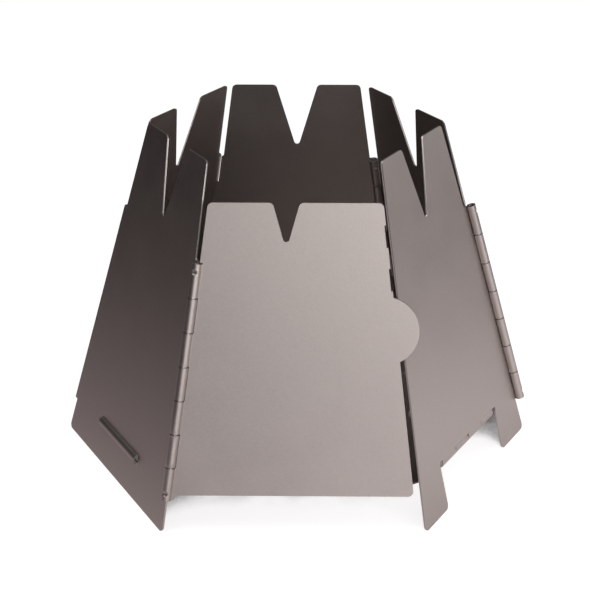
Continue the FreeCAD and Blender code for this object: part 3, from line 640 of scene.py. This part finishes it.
def air_holes(graph, wires, outline):
    """The outline's curves with a middle hole and rings of holes among them."""
    circle = graph.add("GeometryNodeCurvePrimitiveCircle", {"mode": "RADIUS"},
                       {"Resolution": HOLE_STEPS, "Radius": wires["Hole Radius"]})
    parts = [outline, circle]
    for ring in range(1, RING_COUNT + 1):
        sockets = {"Vertices": SIDES * ring, "Radius": ring * wires["Ring Step"]}
        path = graph.add("GeometryNodeMeshCircle", sockets=sockets)
        holes = graph.add("GeometryNodeInstanceOnPoints", sockets={"Points": path, "Instance": circle})
        parts.append(graph.add("GeometryNodeRealizeInstances", sockets={"Geometry": holes}))
    return together(graph, parts)


def cut_out(graph, outline, curves):
    """A flat sheet within the curves, whose roots keep what the outline says of them."""
    flat = graph.add("GeometryNodeFillCurve", {"mode": "NGONS"}, {"Curve": curves})
    place = position(graph)
    nearest = graph.add("GeometryNodeSampleNearest", {"domain": "POINT"}, {"Geometry": outline})
    for label, kind in ROOT_FACTS:
        fact = sampled(graph, outline, kind, stored(graph, label, kind), nearest)
        flat = store(graph, flat, label, kind, "POINT", fact)
    source = sampled(graph, outline, "FLOAT_VECTOR", place, nearest)
    flat = store(graph, flat, "root", "FLOAT_VECTOR", "POINT", place)
    on_outline = distance(graph, place, source) < WELD
    reach = vector_math(graph, "LENGTH", stored(graph, "reach", "FLOAT_VECTOR"), out="Value")
    is_root = graph.add("GeometryNodeFieldOnDomain", {"data_type": "BOOLEAN", "domain": "POINT"},
                        {0: (reach > WELD) * on_outline})
    return store(graph, flat, "front", "BOOLEAN", "EDGE", is_root)


def draw_tabs(graph, flat):
    """The flat sheet with its tabs drawn out step by step, and each point's length past its root kept."""
    start = graph.tree.nodes.new("GeometryNodeRepeatInput")
    end = graph.tree.nodes.new("GeometryNodeRepeatOutput")
    start.pair_with_output(end)
    start.inputs["Iterations"].default_value = ROLL_STEPS
    graph.feed(flat, start, "Geometry")
    step = vector_math(graph, "SCALE", stored(graph, "reach", "FLOAT_VECTOR"), 1.0 / ROLL_STEPS)
    drawn = graph.add("GeometryNodeExtrudeMesh", {"mode": "EDGES"},
                      {"Mesh": Wire(graph, start.outputs["Geometry"]),
                       "Selection": stored(graph, "front", "BOOLEAN"),
                       "Offset": step,
                       "Offset Scale": 1.0})
    ahead = store(graph, drawn, "front", "BOOLEAN", "EDGE", graph.beside(drawn, "Top"))
    graph.feed(ahead, end, "Geometry")
    flat = welded(graph, Wire(graph, end.outputs["Geometry"]))
    past = distance(graph, position(graph), stored(graph, "root", "FLOAT_VECTOR"))
    return store(graph, flat, "past", "FLOAT", "POINT", past)


def thicken(graph, flat, wires):
    """The sheet with its thickness, cut level at the foot and the pot edge."""
    gauge = wires["Gauge"]
    inward = joined(graph, 0.0, gauge * wires["Level Shift"], gauge * -1.0)
    thick = graph.add("GeometryNodeExtrudeMesh", {"mode": "FACES"},
                      {"Mesh": flat, "Offset": inward, "Offset Scale": 1.0, "Individual": False})
    thick = store(graph, thick, "cut", "BOOLEAN", "FACE", graph.beside(thick, "Side"))
    return welded(graph, together(graph, [flat, thick]))


def press_groove(graph, solid, wires):
    """The sheet with the strip over its slot bent into an arch."""
    gauge = wires["Gauge"]
    x, y, z = split(graph, position(graph))
    outer = z > gauge * -0.5
    rise = y - wires["Groove Height"] - (1 - outer) * gauge * wires["Level Shift"]
    swing = rise / (wires["Groove Radius"] + gauge)
    in_length = abs(x) < wires["Groove Half"] + GROOVE_SLACK
    in_height = abs(swing) < 1.0 + SWING_SLACK
    bend = swing * (math.pi / 2)
    arch_r = wires["Groove Radius"] + outer * gauge
    arch_y = arch_r * graph.math("SINE", bend) - rise
    arch_z = (wires["Groove Radius"] + gauge * 0.5) * graph.math("COSINE", bend)
    return shifted(graph, solid, in_length * in_height, joined(graph, 0.0, arch_y, arch_z))


def punched(graph, place, wires):
    """Depth of the two crimps at a place on the flat tabs."""
    dents = []
    for label in ("Crimp Low", "Crimp High"):
        gap = distance(graph, place, wires[label]) / wires["Crimp Radius"]
        dents.append(graph.math("MAXIMUM", 1 - gap * gap, 0.0))
    return (dents[0] + dents[1]) * wires["Crimp Depth"]


def roll_knuckles(graph, solid, wires):
    """The sheet with its tabs rolled round their pins, and the crimped ones dented."""
    x, y, z = split(graph, position(graph))
    past = stored(graph, "past", "FLOAT")
    straight = stored(graph, "straight", "FLOAT")
    curl = stored(graph, "curl", "FLOAT")
    roll_r = wires["Roll Radius"]
    centre = wires["Gauge"] * -0.5 + curl * roll_r
    radius = curl * (centre - z)
    angle = graph.math("MAXIMUM", past - straight, 0.0) / roll_r
    radius = radius - punched(graph, joined(graph, x, y, 0.0), wires) * (radius > roll_r)
    along = graph.math("MINIMUM", past, straight) + radius * graph.math("SINE", angle) - past
    across = centre - curl * radius * graph.math("COSINE", angle) - z
    direction = vector_math(graph, "NORMALIZE", stored(graph, "reach", "FLOAT_VECTOR"))
    along = vector_math(graph, "SCALE", direction, along)
    offset = vector_math(graph, "ADD", along, joined(graph, 0.0, 0.0, across))
    rolled = (past > ROLL_SLACK) * (abs(curl) > CURLED)
    return shifted(graph, solid, rolled, offset)


def sheet_tree(name, perforated):
    """Tree that makes a sheet from its outline."""
    graph, wires = group_tree(name, SHEET_INPUTS + (HOLE_INPUTS if perforated else []))
    outline = wires["Geometry"]
    curves = graph.add("GeometryNodeMeshToCurve", sockets={"Mesh": outline})
    if perforated:
        curves = air_holes(graph, wires, curves)
    flat = draw_tabs(graph, cut_out(graph, outline, curves))
    solid = thicken(graph, flat, wires)
    solid = press_groove(graph, solid, wires)
    solid = roll_knuckles(graph, solid, wires)
    solid = graph.add("GeometryNodeRealizeInstances", sockets={"Geometry": solid})
    solid = graph.add("GeometryNodeSetMaterial", sockets={"Geometry": solid, "Material": SHEET})
    edges = {"Geometry": solid, "Selection": stored(graph, "cut", "BOOLEAN"), "Material": CUT_EDGE}
    solid = graph.add("GeometryNodeSetMaterial", sockets=edges)
    graph.feed(solid, graph.tree.nodes.new("NodeGroupOutput"), "Geometry")
    return graph.tree


def outline_mesh(name, loops):
    """A mesh of closed loops of edges, with what each root says kept on its points."""
    places, edges, roots = [], [], []
    for loop in loops:
        first = len(places)
        points = rounded(loop)
        for i, point in enumerate(points):
            root = point if isinstance(point, Root) else None
            spot = root.place if root else point
            places.append((spot.x, spot.y, 0.0))
            roots.append(root)
            edges.append((first + i, first + (i + 1) % len(points)))
    mesh = bpy.data.meshes.new(name)
    mesh.from_pydata(places, edges, [])
    for label, kind in ROOT_FACTS:
        mesh.attributes.new(label, kind, "POINT")
    for i, root in enumerate(roots):
        if root:
            mesh.attributes["reach"].data[i].vector = (*root.reach, 0.0)
            mesh.attributes["straight"].data[i].value = root.straight
            mesh.attributes["curl"].data[i].value = root.curl
    return mesh


def evaluated(piece):
    """The piece's mesh with its modifiers applied, and its modifiers and empty material slots gone."""
    seen = piece.evaluated_get(bpy.context.evaluated_depsgraph_get())
    mesh = bpy.data.meshes.new_from_object(seen)
    for index in reversed(range(len(mesh.materials))):
        if mesh.materials[index] is None:
            mesh.materials.pop(index=index)
    piece.modifiers.clear()
    piece.data = mesh
    return mesh


def set_inputs(modifier, values):
    """Set a geometry modifier's inputs by their names in the tree."""
    for item in modifier.node_group.interface.items_tree:
        if item.item_type == "SOCKET" and item.in_out == "INPUT" and item.name in values:
            modifier[item.identifier] = values[item.name]


def face_outward(mesh):
    """Weld a mesh and turn its faces outward."""
    work = bmesh.new()
    work.from_mesh(mesh)
    bmesh.ops.remove_doubles(work, verts=work.verts, dist=WELD)
    bmesh.ops.recalc_face_normals(work, faces=work.faces)
    work.to_mesh(mesh)
    work.free()


def break_edges(piece):
    """Bevel the piece's edges in the cut edge's material."""
    bevel = piece.modifiers.new("edges", "BEVEL")
    bevel.width = EDGE_BEVEL
    bevel.segments = BEVEL_SEGMENTS
    bevel.limit_method = "ANGLE"
    bevel.angle_limit = BEVEL_ANGLE
    bevel.material = len(piece.data.materials) - 1
    return evaluated(piece)


def shade_smooth(mesh):
    """Shade a mesh smooth, apart from sharp edges and the edges of large flat faces."""
    work = bmesh.new()
    work.from_mesh(mesh)
    for face in work.faces:
        face.smooth = True
    for edge in work.edges:
        turn = edge.calc_face_angle(0.0)
        beside_flat = max(face.calc_area() for face in edge.link_faces) > FLAT_AREA
        edge.smooth = turn < SHARP and not beside_flat
    work.to_mesh(mesh)
    work.free()


def sheet_piece(name, tree, loops, place, values):
    """A finished sheet piece from its outline's loops, set down where it belongs."""
    piece = bpy.data.objects.new(name, outline_mesh(name, loops))
    scene.collection.objects.link(piece)
    nodes = piece.modifiers.new("sheet", "NODES")
    nodes.node_group = tree
    set_inputs(nodes, values)
    face_outward(evaluated(piece))
    mesh = break_edges(piece)
    for attribute in [a.name for a in mesh.attributes if a.name in LEFTOVERS]:
        mesh.attributes.remove(mesh.attributes[attribute])
    shade_smooth(mesh)
    mesh.transform(Matrix.Scale(MM, 4) @ place)
    return piece


WALL_TREE = sheet_tree("rolled wall", perforated=False)
FLOOR_TREE = sheet_tree("perforated floor", perforated=True)


# Walls
def wall_place(facing):
    """Place of a wall's frame: x along its foot, y up its slope and z outward."""
    outward = Vector((math.cos(math.radians(facing)), math.sin(math.radians(facing)), 0))
    turn = Matrix.Rotation(math.radians(facing + 90), 4, "Z")
    return Matrix.Translation(outward * APO_BASE) @ turn @ Matrix.Rotation(math.pi / 2 - LEAN, 4, "X")


def crimp_spot(kind, along):
    """Where a crimp lies on the flat tab of a left-hand hinge."""
    away = edge_axes(LEFT)[1]
    past = STRAIGHT[kind] + ROLL_R * (math.pi - CRIMP_TURN)
    spot = on_edge(LEFT, EDGE_INSET[kind], along) + away * past
    return (spot.x, spot.y, 0.0)


def wall_piece(name, facing, loops, grip):
    """A wall, with a groove where it has a second loop and crimps where its left-hand hinge grips."""
    grooved = len(loops) > 1
    values = {
        "Gauge": GAUGE,
        "Level Shift": math.tan(LEAN),
        "Roll Radius": ROLL_R,
        "Groove Half": GROOVE_HALF if grooved else NO_GROOVE,
        "Groove Height": GROOVE_Y,
        "Groove Radius": GROOVE_R,
        "Crimp Radius": CRIMP_R,
        "Crimp Depth": CRIMP_DEPTH if grip else 0.0,
    }
    if grip:
        values["Crimp Low"] = crimp_spot(grip, HINGE_START + CRIMP_INSET)
        values["Crimp High"] = crimp_spot(grip, HINGE_END - CRIMP_INSET)
    return sheet_piece(name, WALL_TREE, loops, wall_place(facing), values)


LEG_GAP = [
    (-LEG_GAP_HALF, 0.0, CORNER_ROUND),
    (-LEG_GAP_HALF, LEG_GAP_Y, 0.0),
    *floor_roots(LEG_GAP_Y, CURL["in"], first=0),
    (LEG_GAP_HALF, LEG_GAP_Y, 0.0),
    (LEG_GAP_HALF, 0.0, CORNER_ROUND),
]
OUT_RUN = hinge_roots(RIGHT, "out", grips=False)
IN_RUN = hinge_roots(RIGHT, "in", grips=False)
OUT_GRIP = hinge_roots(LEFT, "out", grips=True)
IN_GRIP = hinge_roots(LEFT, "in", grips=True)
RIGHT_FRONT = wall_outline(("free", []), ("back", OUT_RUN), LEG_GAP)
LAPPED = wall_outline(("lap", OUT_GRIP), ("plain", IN_RUN))
BACK = wall_outline(("plain", IN_GRIP), ("step", OUT_RUN))
LEFT_FRONT = wall_outline(("plain", IN_GRIP), ("back", OUT_RUN))
SLOT = groove_slot()
# Node, body, facing in degrees, loops, and the kind of left-hand hinge that grips its pin
WALLS = [
    ("door", "door", -90, [door_outline()], "out"),
    ("right_front_wall", "right_front", -30, [RIGHT_FRONT], None),
    ("right_back_wall", "right_back", 30, [LAPPED], "out"),
    ("back_wall", "back", 90, [BACK, SLOT], "in"),
    ("left_back_wall", "left_back", 150, [LAPPED], "out"),
    ("left_front_wall", "left_front", 210, [LEFT_FRONT, SLOT], "in"),
]
for node, body, facing, loops, grip in WALLS:
    piece = wall_piece(node + "_sheet", facing, loops, grip)
    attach(piece, body)
    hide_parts(node)

# Floor, turned so that its hinged side lies at the right front wall
FLOOR_PLACE = Matrix.Translation((0, 0, FLOOR_LOW + GAUGE)) @ Matrix.Rotation(SIXTH, 4, "Z")
FLOOR_VALUES = {
    "Gauge": GAUGE,
    "Level Shift": 0.0,
    "Roll Radius": ROLL_R,
    "Groove Half": NO_GROOVE,
    "Groove Radius": GROOVE_R,
    "Crimp Radius": CRIMP_R,
    "Crimp Depth": 0.0,
    "Hole Radius": HOLE_R,
    "Ring Step": RING_STEP,
}
floor_plate = sheet_piece("floor_plate_sheet", FLOOR_TREE, [floor_outline()], FLOOR_PLACE, FLOOR_VALUES)
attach(floor_plate, "floor")
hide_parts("floor_plate")

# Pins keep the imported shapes
for node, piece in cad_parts.items():
    if node.endswith("_pin"):
        piece.data.materials.clear()
        piece.data.materials.append(PIN_STEEL)

# Stage: a floor that is white to the camera, with painted shade inside and round the stove, and a painted
# pool of light that fades away in reflections
STAGE_RADIUS = 1.6
STAGE_STEPS = 96
STAGE_ROUGHNESS = 0.9
# Painted light on the floor: a pool of light round a spot right of the stove, fading to a warm painted
# reflection tint far off
NEAR_PAINTED_LIGHT = (0.80, 0.80, 0.80, 1.0)
FAR_PAINTED_REFLECTION = (0.80, 0.66, 0.68, 1.0)
PAINTED_LIGHT_SPOT = (0.18, -0.05, 0.0)
PAINTED_LIGHT_REACH = 0.23
PAINTED_FLOOR_GLOW = 1.0
SHADE_REACH = 0.12
SHADE_SAMPLES = 32
HEARTH_OPENNESS = 0.025
GROUND_OPENNESS = 0.09
HEARTH_PAINTED_SHADE = 0.96
PAINTED_SHADOW = 0.20


def stage_white():
    """The stage's material: white to the camera under painted shade, with a painted pool of light and a
    warm painted reflection tint in its colour and its glow to reflections.
    """
    material = bpy.data.materials.new("stage_white")
    material.use_nodes = True
    graph = Graph(material.node_tree)
    shader = material.node_tree.nodes["Principled BSDF"]
    shader.inputs["Roughness"].default_value = STAGE_ROUGHNESS
    shader.inputs["Specular IOR Level"].default_value = 0.0
    shader.inputs["Emission Strength"].default_value = 1.0
    camera_ray = graph.add("ShaderNodeLightPath", out="Is Camera Ray")
    seen = graph.math("MAXIMUM", camera_ray, graph.beside(camera_ray, "Is Transmission Ray"))
    glossy = graph.beside(camera_ray, "Is Glossy Ray")
    place = graph.add("ShaderNodeTexCoord", out="Object")
    # Painted shade: the floor's white to the camera and its glow to reflections are darkened by occlusion,
    # nearly black under the stove
    openness = graph.add("ShaderNodeAmbientOcclusion", {"samples": SHADE_SAMPLES},
                         {"Distance": SHADE_REACH}, out="AO")
    painted_shade_level = graph.add("ShaderNodeMapRange", {"interpolation_type": "SMOOTHSTEP"},
                           {"Value": openness, "From Min": HEARTH_OPENNESS, "From Max": GROUND_OPENNESS,
                            "To Min": 1.0 - HEARTH_PAINTED_SHADE, "To Max": 1.0})
    # White to the camera, less a soft painted shadow where the floor is partly closed in
    white = painted_shade_level * (1.0 - PAINTED_SHADOW * (1.0 - openness))
    # Painted pool of light: the floor's colour falls off from a spot right of the stove and turns warm far
    # off, as a painted reflection of warm surroundings
    painted_light_falloff = graph.math("EXPONENT", distance(graph, place, PAINTED_LIGHT_SPOT) * (-1.0 / PAINTED_LIGHT_REACH))
    painted_light_pool = multiplied(graph, mixed(graph, painted_light_falloff, FAR_PAINTED_REFLECTION, NEAR_PAINTED_LIGHT), painted_light_falloff)
    # To reflections the floor glows with the painted pool of light under the painted shade
    level = graph.math("MAXIMUM", seen, PAINTED_FLOOR_GLOW * glossy * painted_shade_level)
    glow = multiplied(graph, mixed(graph, seen, painted_light_pool, white), level)
    graph.feed(painted_light_pool, shader, "Base Color")
    graph.feed(glow, shader, "Emission Color")
    return material


stage_mesh = bpy.data.meshes.new("stage_floor")
rim = [2 * math.pi * step / STAGE_STEPS for step in range(STAGE_STEPS)]
rim_points = [(STAGE_RADIUS * math.cos(turn), STAGE_RADIUS * math.sin(turn), 0.0) for turn in rim]
stage_mesh.from_pydata(rim_points, [], [tuple(range(STAGE_STEPS))])
stage_mesh.materials.append(stage_white())
stage = bpy.data.objects.new("stage_floor", stage_mesh)
scene.collection.objects.link(stage)

# World: white to the camera and dim to everything else
WORLD_COLOUR = (1.0, 1.0, 1.0, 1.0)
WORLD_LEVEL = 0.02
world = bpy.data.worlds.new("surroundings")
world.use_nodes = True
scene.world = world
background = world.node_tree.nodes["Background"]
background.inputs["Color"].default_value = WORLD_COLOUR
sky = Graph(world.node_tree)
sky_strength = WORLD_LEVEL + (1.0 - WORLD_LEVEL) * sky.add("ShaderNodeLightPath", out="Is Camera Ray")
sky.feed(sky_strength, background, "Strength")

# Lamps: name, place, width and height in metres, and power in watts
STOVE_MIDDLE = Vector((0.0, 0.0, 0.05))
LAMPS = [
    ("front_box", (0.40, -1.25, 0.50), 1.1, 0.9, 7.3),
    ("right_box", (1.0, 0.40, 0.40), 0.8, 0.75, 2.0),
    ("side_box", (0.90, -0.90, 0.50), 0.3, 0.5, 2.0),
    ("low_box", (0.85, -0.80, 0.13), 0.5, 0.2, 1.2),
    ("top_box", (-0.30, -0.15, 1.2), 0.6, 0.6, 4.6),
]
for name, place, width, height, power in LAMPS:
    lamp = bpy.data.lights.new(name, "AREA")
    lamp.shape = "RECTANGLE"
    lamp.size = width
    lamp.size_y = height
    lamp.energy = power
    holder = bpy.data.objects.new(name, lamp)
    holder.location = place
    holder.rotation_euler = (STOVE_MIDDLE - Vector(place)).to_track_quat("-Z", "Y").to_euler()
    scene.collection.objects.link(holder)

# Camera at the photograph's viewing angle, fitted to it
PHOTO_WIDTH = 590
PHOTO_HEIGHT = 591
FOCAL_PIXELS = 1464.2
SENSOR = 36.0
CAMERA_FORWARD = Vector((-0.01128, 0.90988, -0.41473))
CAMERA_RIGHT = Vector((0.999926, 0.012156, -0.000529))
CAMERA_UP = CAMERA_RIGHT.cross(CAMERA_FORWARD)
CAMERA_PLACE = Vector((4.933, -411.402, 233.097))
camera_data = bpy.data.cameras.new("camera")
camera_data.sensor_width = SENSOR
camera_data.sensor_fit = "AUTO"
camera_data.lens = FOCAL_PIXELS * SENSOR / max(PHOTO_WIDTH, PHOTO_HEIGHT)
camera = bpy.data.objects.new("camera", camera_data)
camera.matrix_world = Matrix((CAMERA_RIGHT, CAMERA_UP, -CAMERA_FORWARD)).transposed().to_4x4()
camera.matrix_world.translation = CAMERA_PLACE * MM
scene.collection.objects.link(camera)
scene.camera = camera
